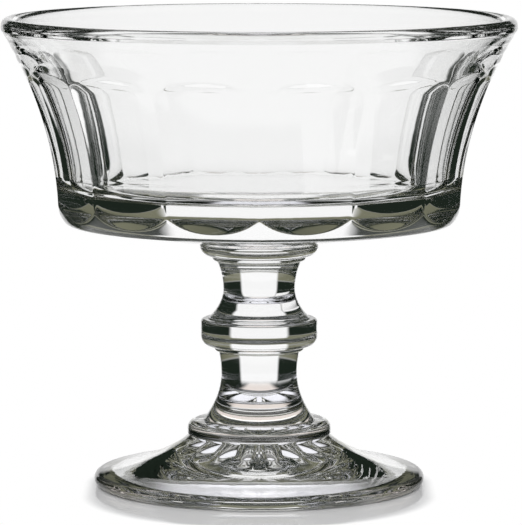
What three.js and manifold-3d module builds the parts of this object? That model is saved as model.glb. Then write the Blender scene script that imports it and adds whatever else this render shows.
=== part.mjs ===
// Footed dessert bowl in clear pressed glass: a flared bowl with flat arched panels, on a waisted stem
// with a knop and two discs, standing on a conical foot, concave beneath, with a rayed hollow.
// Millimetres, +Z up. The origin is on the axis, at the surface that the foot stands on.
import * as THREE from 'three';
import { mergeVertices } from 'three/addons/utils/BufferGeometryUtils.js';
import Module from 'manifold-3d';

const wasm = await Module();
wasm.setup();

// Foot: heights are above the surface that it stands on
const FOOT_RADIUS = 35.5;
const FOOT_HEIGHT = 10.8;
const FOOT_EDGE_THICKNESS = 2.8;
const FOOT_SHOULDER_RADIUS = 14.95;
const FOOT_BEND_RADIUS = 21;
const FOOT_BEND_HEIGHT = 5.2;
const REST_RING_WIDTH = 3;
const FOOT_UNDERSIDE_BEND_RADIUS = 22;
const FOOT_UNDERSIDE_BEND_HEIGHT = 1.75;

// The hollow in the middle of the foot's underside and the grooves that ray out in it, which start at a
// share of the way along its curve
const HOLLOW_RADIUS = 11.8;
const HOLLOW_MOUTH_HEIGHT = 4.6;
const HOLLOW_BEND_RADIUS = 8.5;
const HOLLOW_DEPTH = 4.8;
const RAY_COUNT = 14;
const RAY_GROOVE_RADIUS = 2;
const RAY_START = 0.4;

// Stem, from the foot up: waist heights are above the lower end of their own section
const LOWER_MERESE_RADIUS = 15.4;
const LOWER_MERESE_HEIGHT = 3;
const LOWER_MERESE_LOWER_ROUNDING = 0.4;
const LOWER_MERESE_UPPER_ROUNDING = 1.6;
const LOWER_STEM_HEIGHT = 16.1;
const LOWER_STEM_FOOT_RADIUS = 12;
const LOWER_STEM_WAIST_RADIUS = 8.15;
const LOWER_STEM_WAIST_HEIGHT = 10.2;
const LOWER_STEM_TOP_RADIUS = 8.7;
const KNOP_RADIUS = 12.5;
const KNOP_HEIGHT = 5.9;
const KNOP_LOWER_ROUNDING = 2.2;
const KNOP_UPPER_ROUNDING = 0.7;
const UPPER_STEM_HEIGHT = 13.6;
const UPPER_STEM_FOOT_RADIUS = 11;
const UPPER_STEM_WAIST_RADIUS = 7.7;
const UPPER_STEM_WAIST_HEIGHT = 6.4;
const UPPER_STEM_TOP_RADIUS = 9.1;
const UPPER_MERESE_RADIUS = 12.75;
const UPPER_MERESE_HEIGHT = 2.7;
const UPPER_MERESE_LOWER_ROUNDING = 2.3;
const UPPER_MERESE_UPPER_ROUNDING = 0.6;
const STEM_BEAD_HEIGHT = 1;
const STEM_BEAD_STEP = 0.9;

// Bowl: heights are above the face where it joins the stem
const BOWL_HEIGHT = 48.4;
const RIM_RADIUS = 55;
const RIM_BEAD_RADIUS = 1.6;
const RIM_EDGE_DROP = 2.5;
const FLOOR_HEIGHT = 11.8;
const FLOOR_FILLET = 4.2;
const JOINT_RADIUS = 10.6;
const UNDERSIDE_RADIUS = 41;
const UNDERSIDE_HEIGHT = 4.55;
const HEEL_BEND_RADIUS = 42.2;
const HEEL_RADIUS = 43.9;
const HEEL_HEIGHT = 9.7;
const WALL_BEND_RADIUS = 45.2;
const WALL_BEND_HEIGHT = 24.5;
const LIP_RADIUS = 51.5;
const LIP_HEIGHT = 39.4;
const LIP_BEND_HEIGHT = 43;
const CAVITY_BEND_HEIGHT = 31;

// Panels round the bowl
const PANEL_COUNT = 14;
const PANEL_FOOT_RADIUS = 42.5;
const PANEL_FOOT_HEIGHT = 5.9;
const PANEL_SPRING_RADIUS = 48.4;
const PANEL_SPRING_HEIGHT = 34.7;
const PANEL_CROWN_HEIGHT = 38;

// Glass left between the panels and the cavity: at the panels' feet, and to the cavity's bend from their springs
const WALL_AT_PANEL_FOOT = 2.9;
const BEND_BEHIND_SPRING = 6.8;
const CAVITY_FOOT_RADIUS = PANEL_FOOT_RADIUS - WALL_AT_PANEL_FOOT;
const CAVITY_BEND_RADIUS = PANEL_SPRING_RADIUS - BEND_BEHIND_SPRING;

// Fineness of the facets
const BOWL_FACETS = 6 * PANEL_COUNT;
const FOOT_FACETS = 4 * RAY_COUNT;
const STEM_FACETS = 36;
const GROOVE_SIDES = 8;
const CURVE_STEPS = 5;
const EDGE_STEPS = 4;
const WALL_STEPS = 8;
const LIP_STEPS = 2;

const QUARTER_TURN = Math.PI / 2;
const FULL_TURN = 2 * Math.PI;

// Points and curves of a half section, each point a radius and a height
const at = (radius, height) => new THREE.Vector2(radius, height);
const line = (from, to) => new THREE.LineCurve(from, to);
const bend = (from, control, to) => new THREE.QuadraticBezierCurve(from, control, to);
const arc = (centre, radius, from, to) => new THREE.EllipseCurve(
  centre.x, centre.y, radius, radius, from, to,
);

// The points along several stretches of outline, each a curve and its number of steps
function trace(...stretches) {
  const points = [];
  for (const [curve, steps] of stretches) {
    for (const point of curve.getPoints(steps)) {
      const last = points.at(-1);
      if (!last || last.distanceTo(point) > Number.EPSILON) {
        points.push(point);
      }
    }
  }
  return points;
}

// The radius of an outline that rises all the way, at one height
function radiusAt(points, height) {
  const above = points.findIndex((point) => point.y >= height);
  const low = points[above - 1];
  const high = points[above];
  return THREE.MathUtils.mapLinear(height, low.y, high.y, low.x, high.x);
}

// A closed geometry as a solid that can be cut
function toSolid(geometry) {
  geometry.deleteAttribute('normal');
  geometry.deleteAttribute('uv');
  const merged = mergeVertices(geometry);
  const vertProperties = new Float32Array(merged.attributes.position.array);
  const triVerts = new Uint32Array(merged.index.array);
  return new wasm.Manifold(new wasm.Mesh({ numProp: 3, vertProperties, triVerts }));
}

// A finished solid as a geometry
function toGeometry(solid) {
  const mesh = solid.getMesh();
  const geometry = new THREE.BufferGeometry();
  geometry.setAttribute('position', new THREE.BufferAttribute(mesh.vertProperties, 3));
  geometry.setIndex(new THREE.BufferAttribute(mesh.triVerts, 1));
  geometry.computeVertexNormals();
  return geometry;
}

// A half section turned about the upright axis
function revolve(points, facets) {
  const geometry = new THREE.LatheGeometry(points, facets);
  geometry.rotateX(QUARTER_TURN);
  return toSolid(geometry);
}

// A disc with rounded edges, flat where its neighbours join it
function discSolid(radius, height, lowerRounding, upperRounding) {
  const lower = at(radius - lowerRounding, lowerRounding);
  const upper = at(radius - upperRounding, height - upperRounding);
  return revolve(trace(
    [line(at(0, 0), at(lower.x, 0)), 1],
    [arc(lower, lowerRounding, -QUARTER_TURN, 0), EDGE_STEPS],
    [arc(upper, upperRounding, 0, QUARTER_TURN), EDGE_STEPS],
    [line(at(upper.x, height), at(0, height)), 1],
  ), STEM_FACETS);
}

// A stem that draws in from its foot to a waist, widens again and ends in a small bead
function stemSolid(footRadius, waistRadius, waistHeight, topRadius, height) {
  const waist = at(waistRadius, waistHeight);
  const neck = at(topRadius, height - STEM_BEAD_HEIGHT);
  const bead = at(topRadius + STEM_BEAD_STEP - STEM_BEAD_HEIGHT / 2, height - STEM_BEAD_HEIGHT / 2);
  return revolve(trace(
    [line(at(0, 0), at(footRadius, 0)), 1],
    [bend(at(footRadius, 0), at(waistRadius, waistHeight / 2), waist), CURVE_STEPS],
    [bend(waist, at(waistRadius, (waist.y + neck.y) / 2), neck), CURVE_STEPS],
    [arc(bead, STEM_BEAD_HEIGHT / 2, -QUARTER_TURN, QUARTER_TURN), EDGE_STEPS],
    [line(at(bead.x, height), at(0, height)), 1],
  ), STEM_FACETS);
}

// The curve of the hollow, from its top on the axis down to its mouth
function hollowCurve() {
  const top = HOLLOW_MOUTH_HEIGHT + HOLLOW_DEPTH;
  return bend(at(0, top), at(HOLLOW_BEND_RADIUS, top), at(HOLLOW_RADIUS, HOLLOW_MOUTH_HEIGHT));
}

// One groove of the hollow: a tapered round cutter lying up the hollow's side
function grooveCutter(turn) {
  const curve = hollowCurve();
  const start = curve.getPoint(RAY_START);
  const mouth = new THREE.Vector3(curve.v2.x, 0, curve.v2.y);
  const top = new THREE.Vector3(start.x, 0, start.y);
  const along = top.clone().sub(mouth);
  const lean = new THREE.Quaternion().setFromUnitVectors(
    new THREE.Vector3(0, 1, 0), along.clone().normalize(),
  );
  const middle = mouth.clone().add(top).divideScalar(2);
  const geometry = new THREE.CylinderGeometry(
    RAY_GROOVE_RADIUS / 2, RAY_GROOVE_RADIUS, along.length(), GROOVE_SIDES,
  );
  geometry.applyQuaternion(lean);
  geometry.translate(middle.x, middle.y, middle.z);
  geometry.rotateZ(turn);
  return toSolid(geometry);
}

// The foot: a cone with a round edge that rests on a flat ring, concave beneath with the rayed hollow in it
function footSolid() {
  const edge = at(FOOT_RADIUS - FOOT_EDGE_THICKNESS / 2, FOOT_EDGE_THICKNESS / 2);
  const hollow = hollowCurve();
  const underBend = at(FOOT_UNDERSIDE_BEND_RADIUS, FOOT_UNDERSIDE_BEND_HEIGHT);
  const restInner = at(edge.x - REST_RING_WIDTH, 0);
  const shoulder = at(FOOT_SHOULDER_RADIUS, FOOT_HEIGHT);
  let solid = revolve(trace(
    [hollow, CURVE_STEPS],
    [bend(hollow.v2, underBend, restInner), CURVE_STEPS],
    [line(restInner, at(edge.x, 0)), 1],
    [arc(edge, edge.y, -QUARTER_TURN, QUARTER_TURN), 2 * EDGE_STEPS],
    [bend(at(edge.x, FOOT_EDGE_THICKNESS), at(FOOT_BEND_RADIUS, FOOT_BEND_HEIGHT), shoulder), CURVE_STEPS],
    [line(shoulder, at(0, FOOT_HEIGHT)), 1],
  ), FOOT_FACETS);
  for (let ray = 0; ray < RAY_COUNT; ray += 1) {
    solid = solid.subtract(grooveCutter((FULL_TURN * ray) / RAY_COUNT));
  }
  return solid;
}

// The outer wall of the bowl, from its heel up to its lip
function outerWall() {
  const heel = at(HEEL_RADIUS, HEEL_HEIGHT);
  return bend(heel, at(WALL_BEND_RADIUS, WALL_BEND_HEIGHT), at(LIP_RADIUS, LIP_HEIGHT));
}

// The lip: it goes on at the wall's slope and flares out to the upright edge of the rim
function outerLip(wall) {
  const slope = (wall.v2.x - wall.v1.x) / (wall.v2.y - wall.v1.y);
  const control = at(wall.v2.x + slope * (LIP_BEND_HEIGHT - wall.v2.y), LIP_BEND_HEIGHT);
  return bend(wall.v2, control, at(RIM_RADIUS, BOWL_HEIGHT - RIM_EDGE_DROP));
}

// The bowl turned in one piece, base, wall and rim, before its panels are cut
function turnedBowl() {
  const wall = outerWall();
  const bead = at(RIM_RADIUS - RIM_BEAD_RADIUS, BOWL_HEIGHT - RIM_BEAD_RADIUS);
  const underside = at(UNDERSIDE_RADIUS, UNDERSIDE_HEIGHT);
  const floorEdge = at(CAVITY_FOOT_RADIUS - FLOOR_FILLET, FLOOR_HEIGHT);
  const cavityFoot = at(CAVITY_FOOT_RADIUS, FLOOR_HEIGHT + FLOOR_FILLET);
  const cavityRim = at(bead.x - RIM_BEAD_RADIUS, bead.y);
  return revolve(trace(
    [line(at(0, 0), at(JOINT_RADIUS, 0)), 1],
    [line(at(JOINT_RADIUS, 0), underside), 1],
    [bend(underside, at(HEEL_BEND_RADIUS, UNDERSIDE_HEIGHT), wall.v0), CURVE_STEPS],
    [wall, WALL_STEPS],
    [outerLip(wall), LIP_STEPS],
    [arc(bead, RIM_BEAD_RADIUS, 0, 2 * QUARTER_TURN), 2 * EDGE_STEPS],
    [bend(cavityRim, at(CAVITY_BEND_RADIUS, CAVITY_BEND_HEIGHT), cavityFoot), WALL_STEPS],
    [bend(cavityFoot, at(cavityFoot.x, FLOOR_HEIGHT), floorEdge), EDGE_STEPS],
    [line(floorEdge, at(0, FLOOR_HEIGHT)), 1],
  ), BOWL_FACETS);
}

// What is cut away outside one panel: upright at its foot, leaning out up to the height where its arch
// springs, and scooped out from there to the crown; carried sideways past its neighbours
function panelCutter(turn) {
  const crownRadius = radiusAt(outerWall().getPoints(4 * WALL_STEPS), PANEL_CROWN_HEIGHT);
  const crown = at(crownRadius, PANEL_CROWN_HEIGHT);
  const foot = at(PANEL_FOOT_RADIUS, PANEL_FOOT_HEIGHT);
  const spring = at(PANEL_SPRING_RADIUS, PANEL_SPRING_HEIGHT);
  const lean = at(foot.x, (foot.y + spring.y) / 2);
  const slope = (spring.x - lean.x) / (spring.y - lean.y);
  const scoopHeight = (spring.y + crown.y) / 2;
  const scoop = at(spring.x + slope * (scoopHeight - spring.y), scoopHeight);
  const outside = 2 * RIM_RADIUS;
  const width = outside * Math.tan(Math.PI / PANEL_COUNT);
  const outline = new THREE.Shape(trace(
    [line(at(foot.x, 0), foot), 1],
    [bend(foot, lean, spring), CURVE_STEPS],
    [bend(spring, scoop, crown), EDGE_STEPS],
    [line(crown, at(outside, crown.y)), 1],
    [line(at(outside, crown.y), at(outside, 0)), 1],
  ));
  const geometry = new THREE.ExtrudeGeometry(outline, { depth: width, bevelEnabled: false });
  geometry.translate(0, 0, -width / 2);
  geometry.rotateX(QUARTER_TURN);
  geometry.rotateZ(turn);
  return toSolid(geometry);
}

// The bowl with its ring of panels
function bowlSolid() {
  let solid = turnedBowl();
  for (let panel = 0; panel < PANEL_COUNT; panel += 1) {
    solid = solid.subtract(panelCutter((FULL_TURN * panel) / PANEL_COUNT));
  }
  return solid;
}

// Clear glass with a faint green-grey tint
function glass(color) {
  return new THREE.MeshStandardMaterial({
    color, roughness: 0.03, metalness: 0, transparent: true, opacity: 0.35,
  });
}

const lowerMerese = discSolid(
  LOWER_MERESE_RADIUS, LOWER_MERESE_HEIGHT, LOWER_MERESE_LOWER_ROUNDING, LOWER_MERESE_UPPER_ROUNDING,
);
const lowerStem = stemSolid(
  LOWER_STEM_FOOT_RADIUS, LOWER_STEM_WAIST_RADIUS, LOWER_STEM_WAIST_HEIGHT,
  LOWER_STEM_TOP_RADIUS, LOWER_STEM_HEIGHT,
);
const knop = discSolid(KNOP_RADIUS, KNOP_HEIGHT, KNOP_LOWER_ROUNDING, KNOP_UPPER_ROUNDING);
const upperStem = stemSolid(
  UPPER_STEM_FOOT_RADIUS, UPPER_STEM_WAIST_RADIUS, UPPER_STEM_WAIST_HEIGHT,
  UPPER_STEM_TOP_RADIUS, UPPER_STEM_HEIGHT,
);
const upperMerese = discSolid(
  UPPER_MERESE_RADIUS, UPPER_MERESE_HEIGHT, UPPER_MERESE_LOWER_ROUNDING, UPPER_MERESE_UPPER_ROUNDING,
);

// The sections from the foot up, each with its height and its tint
const sections = [
  ['foot', footSolid(), FOOT_HEIGHT, 0xdfe8e2],
  ['lower_merese', lowerMerese, LOWER_MERESE_HEIGHT, 0xd5dfd8],
  ['lower_stem', lowerStem, LOWER_STEM_HEIGHT, 0xdbe5de],
  ['knop', knop, KNOP_HEIGHT, 0xd5dfd8],
  ['upper_stem', upperStem, UPPER_STEM_HEIGHT, 0xdbe5de],
  ['upper_merese', upperMerese, UPPER_MERESE_HEIGHT, 0xd5dfd8],
  ['bowl', bowlSolid(), BOWL_HEIGHT, 0xe6eeea],
];

// Each section stands on the flat top of the one below it
const dessertBowl = new THREE.Group();
let level = 0;
for (const [name, solid, height, tint] of sections) {
  const mesh = new THREE.Mesh(toGeometry(solid), glass(tint));
  mesh.name = name;
  mesh.position.z = level;
  dessertBowl.add(mesh);
  level += height;
}

export default dessertBowl;
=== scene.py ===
"""Looks of a footed dessert bowl in clear pressed glass, on a pale glossy floor in soft studio light."""
import math

import bpy
import numpy as np
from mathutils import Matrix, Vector


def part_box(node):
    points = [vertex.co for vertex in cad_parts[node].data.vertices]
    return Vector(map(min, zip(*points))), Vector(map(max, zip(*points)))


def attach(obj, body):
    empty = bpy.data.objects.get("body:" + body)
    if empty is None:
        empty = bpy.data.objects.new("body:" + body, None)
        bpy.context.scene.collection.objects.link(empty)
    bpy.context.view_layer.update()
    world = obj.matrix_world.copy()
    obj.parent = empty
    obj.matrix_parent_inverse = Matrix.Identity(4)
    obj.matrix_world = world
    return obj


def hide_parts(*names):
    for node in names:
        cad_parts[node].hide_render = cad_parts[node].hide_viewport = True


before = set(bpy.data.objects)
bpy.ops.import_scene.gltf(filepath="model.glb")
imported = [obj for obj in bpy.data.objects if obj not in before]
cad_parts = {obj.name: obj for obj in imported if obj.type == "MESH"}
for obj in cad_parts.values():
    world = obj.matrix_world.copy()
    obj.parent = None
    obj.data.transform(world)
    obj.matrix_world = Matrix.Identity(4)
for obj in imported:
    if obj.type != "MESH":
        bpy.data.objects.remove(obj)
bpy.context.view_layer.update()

MM = 0.001

# Points nearer than the first of these are one point; the second is the radius of a ring at the axis
SAME_POINT = 1e-7
AXIS_GAP = 0.02 * MM

# The levels where the sections of glass join, and the main radii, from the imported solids
FOOT_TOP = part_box("foot")[1].z
LOWER_MERESE_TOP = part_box("lower_merese")[1].z
LOWER_STEM_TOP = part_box("lower_stem")[1].z
KNOP_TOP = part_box("knop")[1].z
UPPER_STEM_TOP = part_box("upper_stem")[1].z
BOWL_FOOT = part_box("bowl")[0].z
RIM_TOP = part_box("bowl")[1].z
FOOT_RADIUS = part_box("foot")[1].x
LOWER_MERESE_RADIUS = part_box("lower_merese")[1].x
KNOP_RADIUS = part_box("knop")[1].x
UPPER_MERESE_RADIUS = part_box("upper_merese")[1].x
RIM_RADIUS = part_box("bowl")[1].x

# Foot: heights are above the surface it stands on, and a bend is drawn towards a radius and a height
FOOT_EDGE = 2.8 * MM
FOOT_SHOULDER_RADIUS = 14.95 * MM
FOOT_BEND = (21 * MM, 5.2 * MM)
REST_RING_WIDTH = 3 * MM
FOOT_UNDERSIDE_BEND = (22 * MM, 1.75 * MM)
HOLLOW_RADIUS = 11.8 * MM
HOLLOW_MOUTH_RISE = 4.6 * MM
HOLLOW_BEND_RADIUS = 5.5 * MM
HOLLOW_DEPTH = 4.8 * MM
HOLLOW_TOP = HOLLOW_MOUTH_RISE + HOLLOW_DEPTH
RAY_COUNT = 14
RAY_DEPTH = 2.8 * MM
RAY_MIDDLE = 0.5
RAY_FADE = 4.2 * MM

# Stem: rises are above the foot of each length, and roundings are those of the discs and the knop
LOWER_STEM_FOOT_RADIUS = 12 * MM
LOWER_STEM_WAIST_RADIUS = 8.15 * MM
LOWER_STEM_WAIST_RISE = 10.2 * MM
LOWER_STEM_TOP_RADIUS = 8.7 * MM
UPPER_STEM_FOOT_RADIUS = 11 * MM
UPPER_STEM_WAIST_RADIUS = 7.7 * MM
UPPER_STEM_WAIST_RISE = 6.4 * MM
UPPER_STEM_TOP_RADIUS = 9.1 * MM
STEM_BEAD_HEIGHT = 1.0 * MM
STEM_BEAD_STEP = 0.9 * MM
LOWER_MERESE_LOWER_ROUNDING = 0.4 * MM
LOWER_MERESE_UPPER_ROUNDING = 1.6 * MM
KNOP_LOWER_ROUNDING = 2.2 * MM
KNOP_UPPER_ROUNDING = 0.7 * MM
UPPER_MERESE_LOWER_ROUNDING = 2.3 * MM
UPPER_MERESE_UPPER_ROUNDING = 0.6 * MM

# Bowl: rises are above the face where it joins the stem
RIM_BEAD = 1.6 * MM
RIM_EDGE_DROP = 2.5 * MM
BOWL_FLOOR_RISE = 11.8 * MM
BOWL_FLOOR_FILLET = 4.2 * MM
BOWL_JOINT_RADIUS = 10.6 * MM
UNDERSIDE_RADIUS = 41 * MM
UNDERSIDE_RISE_AT_EDGE = 4.55 * MM
HEEL_BEND_RADIUS = 42.2 * MM
HEEL_RADIUS = 43.9 * MM
HEEL_RISE = 9.7 * MM
WALL_BEND_RADIUS = 45.2 * MM
WALL_BEND_RISE = 24.5 * MM
LIP_RADIUS = 51.5 * MM
LIP_RISE = 39.4 * MM
LIP_BEND_RISE = 43 * MM
PANEL_COUNT = 14
PANEL_FOOT_RADIUS = 42.5 * MM
PANEL_FOOT_RISE = 5.9 * MM
PANEL_SPRING_RADIUS = 48.4 * MM
PANEL_SPRING_RISE = 34.7 * MM
PANEL_CROWN_RISE = 38 * MM
PANEL_RUN_ON = 20
RIB_SOFTNESS = 0.18 * MM
ARCH_SOFTNESS = 0.12 * MM
WALL_AT_PANEL_FOOT = 2.9 * MM
BEND_BEHIND_SPRING = 6.8 * MM
CAVITY_FOOT_RADIUS = PANEL_FOOT_RADIUS - WALL_AT_PANEL_FOOT
CAVITY_BEND_RADIUS = PANEL_SPRING_RADIUS - BEND_BEHIND_SPRING
CAVITY_BEND_RISE = 31 * MM

# Fineness of the meshes
ROUND_STEPS = 168
PANEL_STEPS = 24
RAY_STEPS = 16
CURVE_STEPS = 24
EDGE_STEPS = 10
FACE_STEPS = 3
BAND_STEPS = 4
HOLLOW_STEPS = 40
FOOT_EDGE_STEPS = 16
FOOT_TOP_STEPS = 32
UNDERSIDE_STEPS = 14
HEEL_STEPS = 40
WALL_STEPS = 72
LIP_STEPS = 48
RIM_EDGE_STEPS = 6
RIM_STEPS = 20
FILLET_STEPS = 12
BOWL_FLOOR_STEPS = 8
PANEL_CURVE_STEPS = 200
SCOOP_STEPS = 80

# Camera: its place on the front of the bowl, and the width that it frames there
CAMERA_DISTANCE = 0.845
CAMERA_HEIGHT = 0.149
CAMERA_AIM = Vector((0.0004, 0.0, 0.0478))
FRAME_SIDE = 0.1126
SENSOR = 36.0
CLIP_START = 0.01

# Glass, and the ripple in its surface
GLASS_TINT = (0.998, 0.9995, 0.9985, 1.0)
GLASS_IOR = 1.52
RIPPLE_SCALE = 160
RIPPLE_DETAIL = 2
RIPPLE_STRENGTH = 0.03
RIPPLE_HEIGHT = 0.6 * MM

# Colours of the studio
WHITE = (1.0, 1.0, 1.0, 1.0)
PALE = (0.95, 0.95, 0.96, 1.0)
DARK = (0.012, 0.018, 0.013, 1.0)
OLIVE = (0.2, 0.2, 0.14, 1.0)
# Tints of the painted glow on the floor seen through glass
GLOW_LAVENDER = (0.93, 0.93, 1.0, 1.0)
GLOW_BLUSH = (1.0, 0.9, 0.85, 1.0)

# Floor: each pair is where a change starts and ends, in metres from the bowl's axis
FLOOR_SIZE = 4.0
FLOOR_DROP = 0.05 * MM
FLOOR_ROUGHNESS = 0.08
FLOOR_SHINE = 0.35
FLOOR_LIGHT = 1.12
FLOOR_FADE = (0.045, 0.085)
# Where the painted shade and the painted glow on the floor seen through glass start and end
SHADE_EDGE = (0.012, 0.018)
GLOW_MIDDLE = (0.011, 0.016)
GLOW_FRONT = (0.0, 0.006)
GLOW_FRONT_SIDES = (0.016, 0.026)
GLOW_FRONT_SHARE = 0.9
GLOW_BACK = (0.034, 0.038)
GLOW_BACK_SIDES = (0.008, 0.014)
GLOW_BACK_REACH = (0.060, 0.080)
GLOW_BACK_SHARE = 0.85
MIRROR_REACH = 0.016
MIRROR_EDGE = (0.0345, 0.038)

# White backdrops round the glass: how far each is turned to the left of the way ahead, and half its width.
# The table's rise is how much higher its edge stands at its heading, as the upright part of a direction
AHEAD = 0.0
BACKDROP_HALF_ANGLE = math.radians(21)
SIDE_TURN = math.radians(90)
SIDE_HALF_ANGLE = math.radians(12)
CORNER_TURN = math.radians(36)
CORNER_HALF_ANGLE = math.radians(15)
TABLE_TURN = math.radians(-135)
TABLE_HALF_ANGLE = math.radians(18)
TABLE_RISE = 0.58
WING_HALF_ANGLE = math.radians(75)
BACKDROP_EDGE = math.radians(2)
LEAST_AHEAD = 0.001

# Elevations in degrees where the surroundings change, as the glass shows them
SIDE_LOW = (-9, -7)
SIDE_HIGH = (3, 5)
CORNER_LOW = (-40, -36)
CORNER_HIGH = (-20, -17)
TABLE_EDGE = (-50, -45)
WING_LOW = (3, 6)
CEILING_LOW = (14, 17)
ROOF_LOW = (25, 50)
REFLECTED_TABLE = (-32, -24)
REFLECTED_CEILING = (9, 12)

# Turns that light may take in the glass
BOUNCES = 32
GLOSSY_BOUNCES = 16
CLEAR_BOUNCES = 64


def line(start, end, steps=1):
    """Points on a straight stretch."""
    return [np.array(start) + (np.array(end) - np.array(start)) * s / steps for s in range(steps + 1)]


def bend(start, control, end, steps=CURVE_STEPS):
    """Points on a curve with one control point."""
    a, c, b = (np.array(p) for p in (start, control, end))
    return [a * (1 - t) ** 2 + c * 2 * t * (1 - t) + b * t * t for t in np.linspace(0, 1, steps + 1)]


def arc(centre, radius, start, end, steps=EDGE_STEPS):
    """Points on a round stretch, from one angle to another in degrees."""
    return [
        np.array(centre) + radius * np.array((math.cos(a), math.sin(a)))
        for a in np.radians(np.linspace(start, end, steps + 1))
    ]


def joined(*stretches):
    """Several stretches of outline as one list of points, without doubles."""
    points = [stretches[0][0]]
    for point in (p for stretch in stretches for p in stretch):
        if np.linalg.norm(point - points[-1]) > SAME_POINT:
            points.append(point)
    return np.array(points)


def smooth_min(a, b, softness):
    """The lesser of two values, with the corner where they cross rounded."""
    near = np.maximum(softness - np.abs(a - b), 0) / softness
    return np.minimum(a, b) - near * near * softness / 4


def turned(name, outline, angles, shape=None):
    """A mesh turned about the axis from an outline of radii and heights.

    Flat faces close the first and last rings. shape changes the radius of the points at each angle."""
    rings = len(outline)
    count = len(angles)
    radius = np.repeat(outline[:, 0][:, None], count, 1)
    height = np.repeat(outline[:, 1][:, None], count, 1)
    if shape is not None:
        radius = shape(radius, height, angles)
    points = np.stack([radius * np.cos(angles), radius * np.sin(angles), height], -1).reshape(-1, 3)
    faces = [
        (r * count + a, r * count + (a + 1) % count, (r + 1) * count + (a + 1) % count, (r + 1) * count + a)
        for r in range(rings - 1)
        for a in range(count)
    ]
    foot_face = tuple(reversed(range(count)))
    head_face = tuple((rings - 1) * count + a for a in range(count))
    mesh = bpy.data.meshes.new(name)
    mesh.from_pydata(points.tolist(), [], faces + [foot_face, head_face])
    mesh.polygons.foreach_set("use_smooth", [True] * len(mesh.polygons))
    mesh.update()
    piece = bpy.data.objects.new(name, mesh)
    bpy.context.scene.collection.objects.link(piece)
    return piece


def even_angles(count=ROUND_STEPS):
    """Angles round the axis, evenly spaced."""
    return np.linspace(0, 2 * math.pi, count, endpoint=False)


def panel_angles():
    """Angles round the bowl, closer together at the ribs between its panels."""
    half = math.pi / PANEL_COUNT
    steps = np.linspace(-1, 1, PANEL_STEPS, endpoint=False)
    eased = np.sin(steps * math.pi / 2)
    return np.concatenate([half * (2 * panel + eased) for panel in range(PANEL_COUNT)])


def disc_outline(low, high, radius, lower, upper, joint_low, joint_high):
    """A disc with rounded edges, between the joints below and above it."""
    return joined(
        line((joint_low, low), (radius - lower, low), FACE_STEPS),
        arc((radius - lower, low + lower), lower, -90, 0),
        line((radius, low + lower), (radius, high - upper), BAND_STEPS),
        arc((radius - upper, high - upper), upper, 0, 90),
        line((radius - upper, high), (joint_high, high), FACE_STEPS),
    )


def stem_outline(low, high, foot, waist, waist_rise, top):
    """A stem that draws in to a waist, widens and ends in a small bead."""
    neck = high - STEM_BEAD_HEIGHT
    half = STEM_BEAD_HEIGHT / 2
    middle = (waist, low + waist_rise)
    bead = top + STEM_BEAD_STEP - half
    return joined(
        bend((foot, low), (waist, low + waist_rise / 2), middle),
        bend(middle, (waist, (middle[1] + neck) / 2), (top, neck)),
        arc((bead, high - half), half, -90, 90),
    )


def foot_outline():
    """The foot from the top of the hollow beneath it, round its edge and up to its shoulder."""
    edge = FOOT_RADIUS - FOOT_EDGE / 2
    mouth = (HOLLOW_RADIUS, HOLLOW_MOUTH_RISE)
    return joined(
        bend((AXIS_GAP, HOLLOW_TOP), (HOLLOW_BEND_RADIUS, HOLLOW_TOP), mouth, HOLLOW_STEPS),
        bend(mouth, FOOT_UNDERSIDE_BEND, (edge - REST_RING_WIDTH, 0)),
        line((edge - REST_RING_WIDTH, 0), (edge, 0), BAND_STEPS),
        arc((edge, FOOT_EDGE / 2), FOOT_EDGE / 2, -90, 90, FOOT_EDGE_STEPS),
        bend((edge, FOOT_EDGE), FOOT_BEND, (FOOT_SHOULDER_RADIUS, FOOT_TOP), FOOT_TOP_STEPS),
    )


def rayed(radius, height, angles):
    """Radial flutes in the hollow under the foot: waves, deepest at its mouth, that die out past it."""
    underneath = (radius <= HOLLOW_RADIUS) | (height <= HOLLOW_MOUTH_RISE)
    underneath[0] = False
    past = (radius - HOLLOW_RADIUS) / RAY_FADE
    share = np.clip(np.minimum(radius / HOLLOW_RADIUS, 1 - past), 0, 1)
    wave = np.abs(np.cos(angles * RAY_COUNT / 2))
    return np.where(underneath, radius + RAY_DEPTH * share * (wave - RAY_MIDDLE), radius)


def outer_wall():
    """The bowl's outer wall before its panels are cut, from the heel to the lip."""
    heel = (HEEL_RADIUS, BOWL_FOOT + HEEL_RISE)
    return heel, (WALL_BEND_RADIUS, BOWL_FOOT + WALL_BEND_RISE), (LIP_RADIUS, BOWL_FOOT + LIP_RISE)


def outer_lip():
    """The lip, which goes on at the wall's slope and flares out to the upright edge of the rim."""
    slope = (LIP_RADIUS - WALL_BEND_RADIUS) / (LIP_RISE - WALL_BEND_RISE)
    control = (LIP_RADIUS + slope * (LIP_BEND_RISE - LIP_RISE), BOWL_FOOT + LIP_BEND_RISE)
    return (LIP_RADIUS, BOWL_FOOT + LIP_RISE), control, (RIM_RADIUS, RIM_TOP - RIM_EDGE_DROP)


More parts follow.
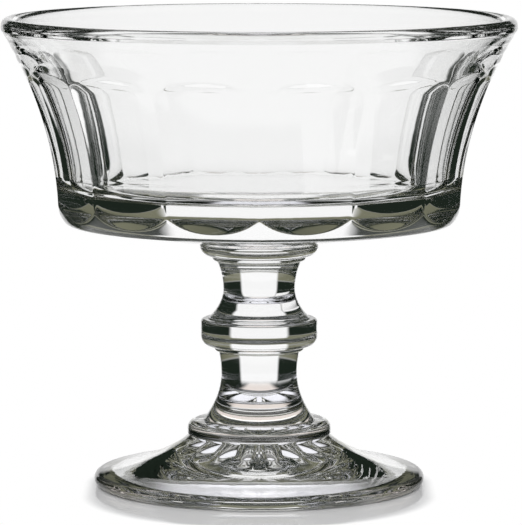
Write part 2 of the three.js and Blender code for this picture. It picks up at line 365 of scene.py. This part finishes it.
def bowl_outline():
    """The bowl from its joint with the stem, up its outside, over the rim and down to its floor."""
    wall = outer_wall()
    bead = (RIM_RADIUS - RIM_BEAD, RIM_TOP - RIM_BEAD)
    floor = BOWL_FOOT + BOWL_FLOOR_RISE
    underside = (UNDERSIDE_RADIUS, BOWL_FOOT + UNDERSIDE_RISE_AT_EDGE)
    cavity_foot = (CAVITY_FOOT_RADIUS, floor + BOWL_FLOOR_FILLET)
    floor_edge = (CAVITY_FOOT_RADIUS - BOWL_FLOOR_FILLET, floor)
    return joined(
        line((BOWL_JOINT_RADIUS, BOWL_FOOT), underside, UNDERSIDE_STEPS),
        bend(underside, (HEEL_BEND_RADIUS, underside[1]), wall[0], HEEL_STEPS),
        bend(*wall, WALL_STEPS),
        bend(*outer_lip(), LIP_STEPS),
        line((RIM_RADIUS, RIM_TOP - RIM_EDGE_DROP), (RIM_RADIUS, bead[1]), RIM_EDGE_STEPS),
        arc(bead, RIM_BEAD, 0, 180, RIM_STEPS),
        bend(
            (bead[0] - RIM_BEAD, bead[1]), (CAVITY_BEND_RADIUS, BOWL_FOOT + CAVITY_BEND_RISE), cavity_foot,
            WALL_STEPS,
        ),
        bend(cavity_foot, (CAVITY_FOOT_RADIUS, floor), floor_edge, FILLET_STEPS),
        line(floor_edge, (AXIS_GAP, floor), BOWL_FLOOR_STEPS),
    )


def panel_curve():
    """The upright curve of a panel: straight at its foot, leaning to its spring, scooped to its crown."""
    wall = np.array(bend(*outer_wall(), PANEL_CURVE_STEPS))
    crown_height = BOWL_FOOT + PANEL_CROWN_RISE
    crown = np.array((np.interp(crown_height, wall[:, 1], wall[:, 0]), crown_height))
    foot = np.array((PANEL_FOOT_RADIUS, BOWL_FOOT + PANEL_FOOT_RISE))
    spring = np.array((PANEL_SPRING_RADIUS, BOWL_FOOT + PANEL_SPRING_RISE))
    lean = np.array((foot[0], (foot[1] + spring[1]) / 2))
    scoop = spring + (spring - lean) * (crown[1] - spring[1]) / 2 / (spring[1] - lean[1])
    run_on = crown + (crown - scoop) * PANEL_RUN_ON
    return joined(
        line((foot[0], 0.0), foot),
        bend(foot, lean, spring, PANEL_CURVE_STEPS),
        bend(spring, scoop, crown, SCOOP_STEPS),
        line(crown, run_on),
    )


def panelled(outline):
    """How the panels flatten the outside of the bowl."""
    curve = panel_curve()
    rim_ring = int(np.argmax(outline[:, 1]))
    width = 2 * math.pi / PANEL_COUNT

    def shape(radius, height, angles):
        flat = np.interp(height, curve[:, 1], curve[:, 0])
        off = (angles + width / 2) % width - width / 2
        near = flat / np.cos(off)
        beside = flat / np.cos(width - np.abs(off))
        panels = smooth_min(near, beside, RIB_SOFTNESS)
        cut = smooth_min(radius, panels, ARCH_SOFTNESS)
        outside = np.arange(len(outline))[:, None] < rim_ring
        return np.where(outside, cut, radius)

    return shape


def math_node(tree, operation, first, second=None):
    """A math node fed by sockets or numbers; returns its result socket."""
    node = tree.nodes.new("ShaderNodeMath")
    node.operation = operation
    for place, value in enumerate(v for v in (first, second) if v is not None):
        if isinstance(value, (int, float)):
            node.inputs[place].default_value = value
        else:
            tree.links.new(value, node.inputs[place])
    return node.outputs["Value"]


def product(tree, first, *others):
    """Several sockets or numbers multiplied."""
    for other in others:
        first = math_node(tree, "MULTIPLY", first, other)
    return first


def greatest(tree, first, *others):
    """The greatest of several sockets or numbers."""
    for other in others:
        first = math_node(tree, "MAXIMUM", first, other)
    return first


def opposite(tree, share):
    """What a share leaves of the whole."""
    return math_node(tree, "SUBTRACT", 1.0, share)


def ramp(tree, value, low, high):
    """A smooth step from 0 at low to 1 at high."""
    node = tree.nodes.new("ShaderNodeMapRange")
    node.interpolation_type = "SMOOTHSTEP"
    node.inputs["From Min"].default_value = low
    node.inputs["From Max"].default_value = high
    tree.links.new(value, node.inputs["Value"])
    return node.outputs["Result"]


def rise(tree, level, low, high):
    """A smooth step between two elevations in degrees, from the upright part of a direction."""
    return ramp(tree, level, math.sin(math.radians(low)), math.sin(math.radians(high)))


def mixed_colour(tree, share, first, second):
    """A colour or socket mixed with a second colour by its share."""
    node = tree.nodes.new("ShaderNodeMix")
    node.data_type = "RGBA"
    tree.links.new(share, node.inputs["Factor"])
    if isinstance(first, tuple):
        node.inputs["A"].default_value = first
    else:
        tree.links.new(first, node.inputs["A"])
    node.inputs["B"].default_value = second
    return node.outputs["Result"]


def mixed_shader(tree, share, first, second):
    """Two shaders mixed by the share of the second."""
    node = tree.nodes.new("ShaderNodeMixShader")
    tree.links.new(share, node.inputs["Fac"])
    tree.links.new(first, node.inputs[1])
    tree.links.new(second, node.inputs[2])
    return node.outputs["Shader"]


def principled(name):
    """A new material and its shader."""
    material = bpy.data.materials.new(name)
    material.use_nodes = True
    return material, material.node_tree.nodes["Principled BSDF"]


def glass_material():
    """Clear pressed glass with a green-grey tint, fire polished, with the faint ripple of its mould."""
    material, shader = principled("pressed_glass")
    tree = material.node_tree
    shader.inputs["Base Color"].default_value = GLASS_TINT
    shader.inputs["Transmission Weight"].default_value = 1.0
    shader.inputs["IOR"].default_value = GLASS_IOR
    shader.inputs["Roughness"].default_value = 0.0
    place = tree.nodes.new("ShaderNodeTexCoord")
    ripple = tree.nodes.new("ShaderNodeTexNoise")
    ripple.inputs["Scale"].default_value = RIPPLE_SCALE
    ripple.inputs["Detail"].default_value = RIPPLE_DETAIL
    bump = tree.nodes.new("ShaderNodeBump")
    bump.inputs["Strength"].default_value = RIPPLE_STRENGTH
    bump.inputs["Distance"].default_value = RIPPLE_HEIGHT
    tree.links.new(place.outputs["Object"], ripple.inputs["Vector"])
    tree.links.new(ripple.outputs["Fac"], bump.inputs["Height"])
    tree.links.new(bump.outputs["Normal"], shader.inputs["Normal"])
    return material


def joint_material():
    """Where two sections are fused the glass goes on, so the faces between them don't show."""
    material, shader = principled("fused_joint")
    shader.inputs["Alpha"].default_value = 0.0
    return material


def floor_glow(tree, split, reach):
    """How brightly the painted glow lights the floor seen through the foot: under its hollow, before it and
    behind the bowl.
    """
    aside = math_node(tree, "ABSOLUTE", split.outputs["X"])
    further = split.outputs["Y"]
    nearer = product(tree, further, -1.0)
    middle = opposite(tree, ramp(tree, reach, *GLOW_MIDDLE))
    front_width = opposite(tree, ramp(tree, aside, *GLOW_FRONT_SIDES))
    front = product(tree, ramp(tree, nearer, *GLOW_FRONT), front_width, GLOW_FRONT_SHARE)
    back_width = opposite(tree, ramp(tree, aside, *GLOW_BACK_SIDES))
    back_length = opposite(tree, ramp(tree, reach, *GLOW_BACK_REACH))
    back = product(tree, ramp(tree, further, *GLOW_BACK), back_width, back_length, GLOW_BACK_SHARE)
    return greatest(tree, middle, front, back)


def past_mirror(tree, split):
    """0 on the floor that mirrors the foot, which reaches towards the front, and 1 away from it."""
    nearer = product(tree, split.outputs["Y"], -1.0)
    reach = math_node(tree, "MINIMUM", greatest(tree, nearer, 0.0), MIRROR_REACH)
    along = math_node(tree, "ADD", split.outputs["Y"], reach)
    right = split.outputs["X"]
    squares = math_node(tree, "ADD", product(tree, along, along), product(tree, right, right))
    return ramp(tree, math_node(tree, "SQRT", squares), *MIRROR_EDGE)


def floor_material():
    """A pale glossy floor that is plain white further off; where it is seen through glass it is darkened by
    painted shade and lit by a painted glow under and around the foot.
    """
    material, shader = principled("pale_floor")
    tree = material.node_tree
    shader.inputs["Roughness"].default_value = FLOOR_ROUGHNESS
    shader.inputs["Specular IOR Level"].default_value = FLOOR_SHINE
    path = tree.nodes.new("ShaderNodeLightPath")
    seen = path.outputs["Is Camera Ray"]
    through = path.outputs["Is Transmission Ray"]
    place = tree.nodes.new("ShaderNodeTexCoord").outputs["Object"]
    split = tree.nodes.new("ShaderNodeSeparateXYZ")
    tree.links.new(place, split.inputs["Vector"])
    length = tree.nodes.new("ShaderNodeVectorMath")
    length.operation = "LENGTH"
    tree.links.new(place, length.inputs[0])
    reach = length.outputs["Value"]

    # Painted shade: seen through glass, the floor beyond the hollow's middle is coloured dark instead of
    # lit
    shade = product(tree, ramp(tree, reach, *SHADE_EDGE), through)
    tree.links.new(mixed_colour(tree, shade, PALE, DARK), shader.inputs["Base Color"])
    # Painted glow: seen through glass, the floor gives off lavender light, blush behind the bowl, where
    # light through the foot would fall on it
    behind = ramp(tree, split.outputs["Y"], *GLOW_BACK)
    tree.links.new(mixed_colour(tree, behind, GLOW_LAVENDER, GLOW_BLUSH), shader.inputs["Emission Color"])
    glow = product(tree, through, floor_glow(tree, split, reach))
    tree.links.new(glow, shader.inputs["Emission Strength"])

    clear = tree.nodes.new("ShaderNodeBsdfTransparent").outputs["BSDF"]
    white = tree.nodes.new("ShaderNodeEmission").outputs["Emission"]
    away = mixed_shader(tree, seen, clear, white)
    fade = tree.nodes.new("ShaderNodeMix")
    tree.links.new(seen, fade.inputs["Factor"])
    tree.links.new(ramp(tree, reach, *FLOOR_FADE), fade.inputs["A"])
    tree.links.new(past_mirror(tree, split), fade.inputs["B"])
    surface = mixed_shader(tree, fade.outputs["Result"], shader.outputs["BSDF"], away)
    tree.links.new(surface, tree.nodes["Material Output"].inputs["Surface"])
    return material


def off_heading(tree, split, turn, half_angle):
    """0 within an angle of a heading that is turned to the left of the way ahead, and 1 outside it."""
    right, ahead = split.outputs["X"], split.outputs["Y"]
    cosine, sine = math.cos(turn), math.sin(turn)
    off = math_node(tree, "ADD", product(tree, right, cosine), product(tree, ahead, sine))
    along = math_node(tree, "SUBTRACT", product(tree, ahead, cosine), product(tree, right, sine))
    tangent = math_node(
        tree, "DIVIDE", math_node(tree, "ABSOLUTE", off), math_node(tree, "MAXIMUM", along, LEAST_AHEAD)
    )
    return ramp(tree, tangent, math.tan(half_angle - BACKDROP_EDGE), math.tan(half_angle + BACKDROP_EDGE))


def outside_window(tree, split, turn, half_angle, low, high):
    """0 within a white window that stands at a heading, between two elevations, and 1 outside it."""
    level = split.outputs["Z"]
    above = rise(tree, level, *high)
    below = opposite(tree, rise(tree, level, *low))
    return greatest(tree, off_heading(tree, split, turn, half_angle), above, below)


def dark_surroundings(tree, split):
    """Where the surroundings are olive and where they are dark, as seen through the glass."""
    level = split.outputs["Z"]
    front = off_heading(tree, split, AHEAD, BACKDROP_HALF_ANGLE)
    side = outside_window(tree, split, SIDE_TURN, SIDE_HALF_ANGLE, SIDE_LOW, SIDE_HIGH)
    corner = outside_window(tree, split, CORNER_TURN, CORNER_HALF_ANGLE, CORNER_LOW, CORNER_HIGH)
    sides = math_node(tree, "MINIMUM", front, math_node(tree, "MINIMUM", side, corner))
    at_table = opposite(tree, off_heading(tree, split, TABLE_TURN, TABLE_HALF_ANGLE))
    raised = product(tree, at_table, TABLE_RISE)
    above_table = rise(tree, math_node(tree, "SUBTRACT", level, raised), *TABLE_EDGE)
    wings = opposite(tree, off_heading(tree, split, AHEAD, WING_HALF_ANGLE))
    wings = product(tree, wings, rise(tree, level, *WING_LOW))
    olive = greatest(tree, rise(tree, level, *CEILING_LOW), product(tree, sides, wings))
    walls = product(tree, sides, opposite(tree, wings), above_table)
    return olive, greatest(tree, walls, rise(tree, level, *ROOF_LOW))


def dark_reflections(tree, split):
    """Where the surroundings are dark, as the glass and the floor reflect them."""
    level = split.outputs["Z"]
    front = off_heading(tree, split, AHEAD, BACKDROP_HALF_ANGLE)
    walls = product(tree, front, rise(tree, level, *REFLECTED_TABLE))
    return greatest(tree, walls, rise(tree, level, *REFLECTED_CEILING))


def studio_light():
    """A white room for the camera and the floor; bright backdrops between dark sides for the glass."""
    world = bpy.data.worlds.new("studio")
    bpy.context.scene.world = world
    world.use_nodes = True
    tree = world.node_tree
    background = tree.nodes["Background"]
    place = tree.nodes.new("ShaderNodeTexCoord")
    split = tree.nodes.new("ShaderNodeSeparateXYZ")
    tree.links.new(place.outputs["Generated"], split.inputs["Vector"])
    path = tree.nodes.new("ShaderNodeLightPath")
    through = path.outputs["Is Transmission Ray"]
    bounced = product(tree, path.outputs["Is Glossy Ray"], opposite(tree, through))
    olive, dark = dark_surroundings(tree, split)
    reflected = product(tree, dark_reflections(tree, split), bounced)
    shaded = math_node(tree, "ADD", product(tree, dark, through), reflected)
    colour = mixed_colour(tree, product(tree, olive, through), WHITE, OLIVE)
    tree.links.new(mixed_colour(tree, shaded, colour, DARK), background.inputs["Color"])
    floor_gain = product(tree, path.outputs["Is Diffuse Ray"], FLOOR_LIGHT - 1)
    tree.links.new(math_node(tree, "ADD", floor_gain, 1.0), background.inputs["Strength"])
    tree.links.new(background.outputs["Background"], tree.nodes["World Output"].inputs["Surface"])


def add_floor():
    """A wide floor just under the foot."""
    mesh = bpy.data.meshes.new("floor")
    half = FLOOR_SIZE / 2
    mesh.from_pydata(
        [(-half, -half, 0), (half, -half, 0), (half, half, 0), (-half, half, 0)], [], [(0, 1, 2, 3)]
    )
    mesh.materials.append(floor_material())
    floor = bpy.data.objects.new("floor", mesh)
    floor.location.z = -FLOOR_DROP
    bpy.context.scene.collection.objects.link(floor)


def add_camera():
    """A camera a little above the bowl, with a long lens."""
    data = bpy.data.cameras.new("camera")
    data.sensor_width = SENSOR
    place = Vector((0, -CAMERA_DISTANCE, CAMERA_HEIGHT))
    data.lens = SENSOR * (place - CAMERA_AIM).length / FRAME_SIDE
    data.clip_start = CLIP_START
    camera = bpy.data.objects.new("camera", data)
    camera.location = place
    camera.rotation_euler = (CAMERA_AIM - place).to_track_quat("-Z", "Y").to_euler()
    bpy.context.scene.collection.objects.link(camera)
    bpy.context.scene.camera = camera


def dress(piece, node, glass, joint, fused_foot, fused_head):
    """Gives a section its glass, clears the faces fused to its neighbours and rides it on the body."""
    piece.data.materials.append(glass)
    piece.data.materials.append(joint)
    faces = piece.data.polygons
    faces[len(faces) - 2].material_index = int(fused_foot)
    faces[len(faces) - 1].material_index = int(fused_head)
    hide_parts(node)
    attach(piece, "root")


def build_bowl():
    """Every section of the bowl, from the foot up."""
    glass = glass_material()
    joint = joint_material()
    lower_top = LOWER_STEM_TOP_RADIUS + STEM_BEAD_STEP - STEM_BEAD_HEIGHT / 2
    upper_top = UPPER_STEM_TOP_RADIUS + STEM_BEAD_STEP - STEM_BEAD_HEIGHT / 2
    round_angles = even_angles()
    outlines = {
        "lower_merese": disc_outline(
            FOOT_TOP, LOWER_MERESE_TOP, LOWER_MERESE_RADIUS, LOWER_MERESE_LOWER_ROUNDING,
            LOWER_MERESE_UPPER_ROUNDING, FOOT_SHOULDER_RADIUS, LOWER_STEM_FOOT_RADIUS,
        ),
        "lower_stem": stem_outline(
            LOWER_MERESE_TOP, LOWER_STEM_TOP, LOWER_STEM_FOOT_RADIUS, LOWER_STEM_WAIST_RADIUS,
            LOWER_STEM_WAIST_RISE, LOWER_STEM_TOP_RADIUS,
        ),
        "knop": disc_outline(
            LOWER_STEM_TOP, KNOP_TOP, KNOP_RADIUS, KNOP_LOWER_ROUNDING, KNOP_UPPER_ROUNDING,
            lower_top, UPPER_STEM_FOOT_RADIUS,
        ),
        "upper_stem": stem_outline(
            KNOP_TOP, UPPER_STEM_TOP, UPPER_STEM_FOOT_RADIUS, UPPER_STEM_WAIST_RADIUS,
            UPPER_STEM_WAIST_RISE, UPPER_STEM_TOP_RADIUS,
        ),
        "upper_merese": disc_outline(
            UPPER_STEM_TOP, BOWL_FOOT, UPPER_MERESE_RADIUS, UPPER_MERESE_LOWER_ROUNDING,
            UPPER_MERESE_UPPER_ROUNDING, upper_top, BOWL_JOINT_RADIUS,
        ),
    }
    foot = turned("glass_foot", foot_outline(), even_angles(RAY_COUNT * RAY_STEPS), rayed)
    dress(foot, "foot", glass, joint, False, True)
    for node, outline in outlines.items():
        dress(turned("glass_" + node, outline, round_angles), node, glass, joint, True, True)
    outline = bowl_outline()
    bowl = turned("glass_bowl", outline, panel_angles(), panelled(outline))
    dress(bowl, "bowl", glass, joint, True, False)


def set_view():
    """Plain colours, and enough bounces for light to cross every wall of glass."""
    scene = bpy.context.scene
    scene.view_settings.view_transform = "Standard"
    scene.cycles.max_bounces = BOUNCES
    scene.cycles.transmission_bounces = BOUNCES
    scene.cycles.glossy_bounces = GLOSSY_BOUNCES
    scene.cycles.transparent_max_bounces = CLEAR_BOUNCES


build_bowl()
add_floor()
add_camera()
studio_light()
set_view()
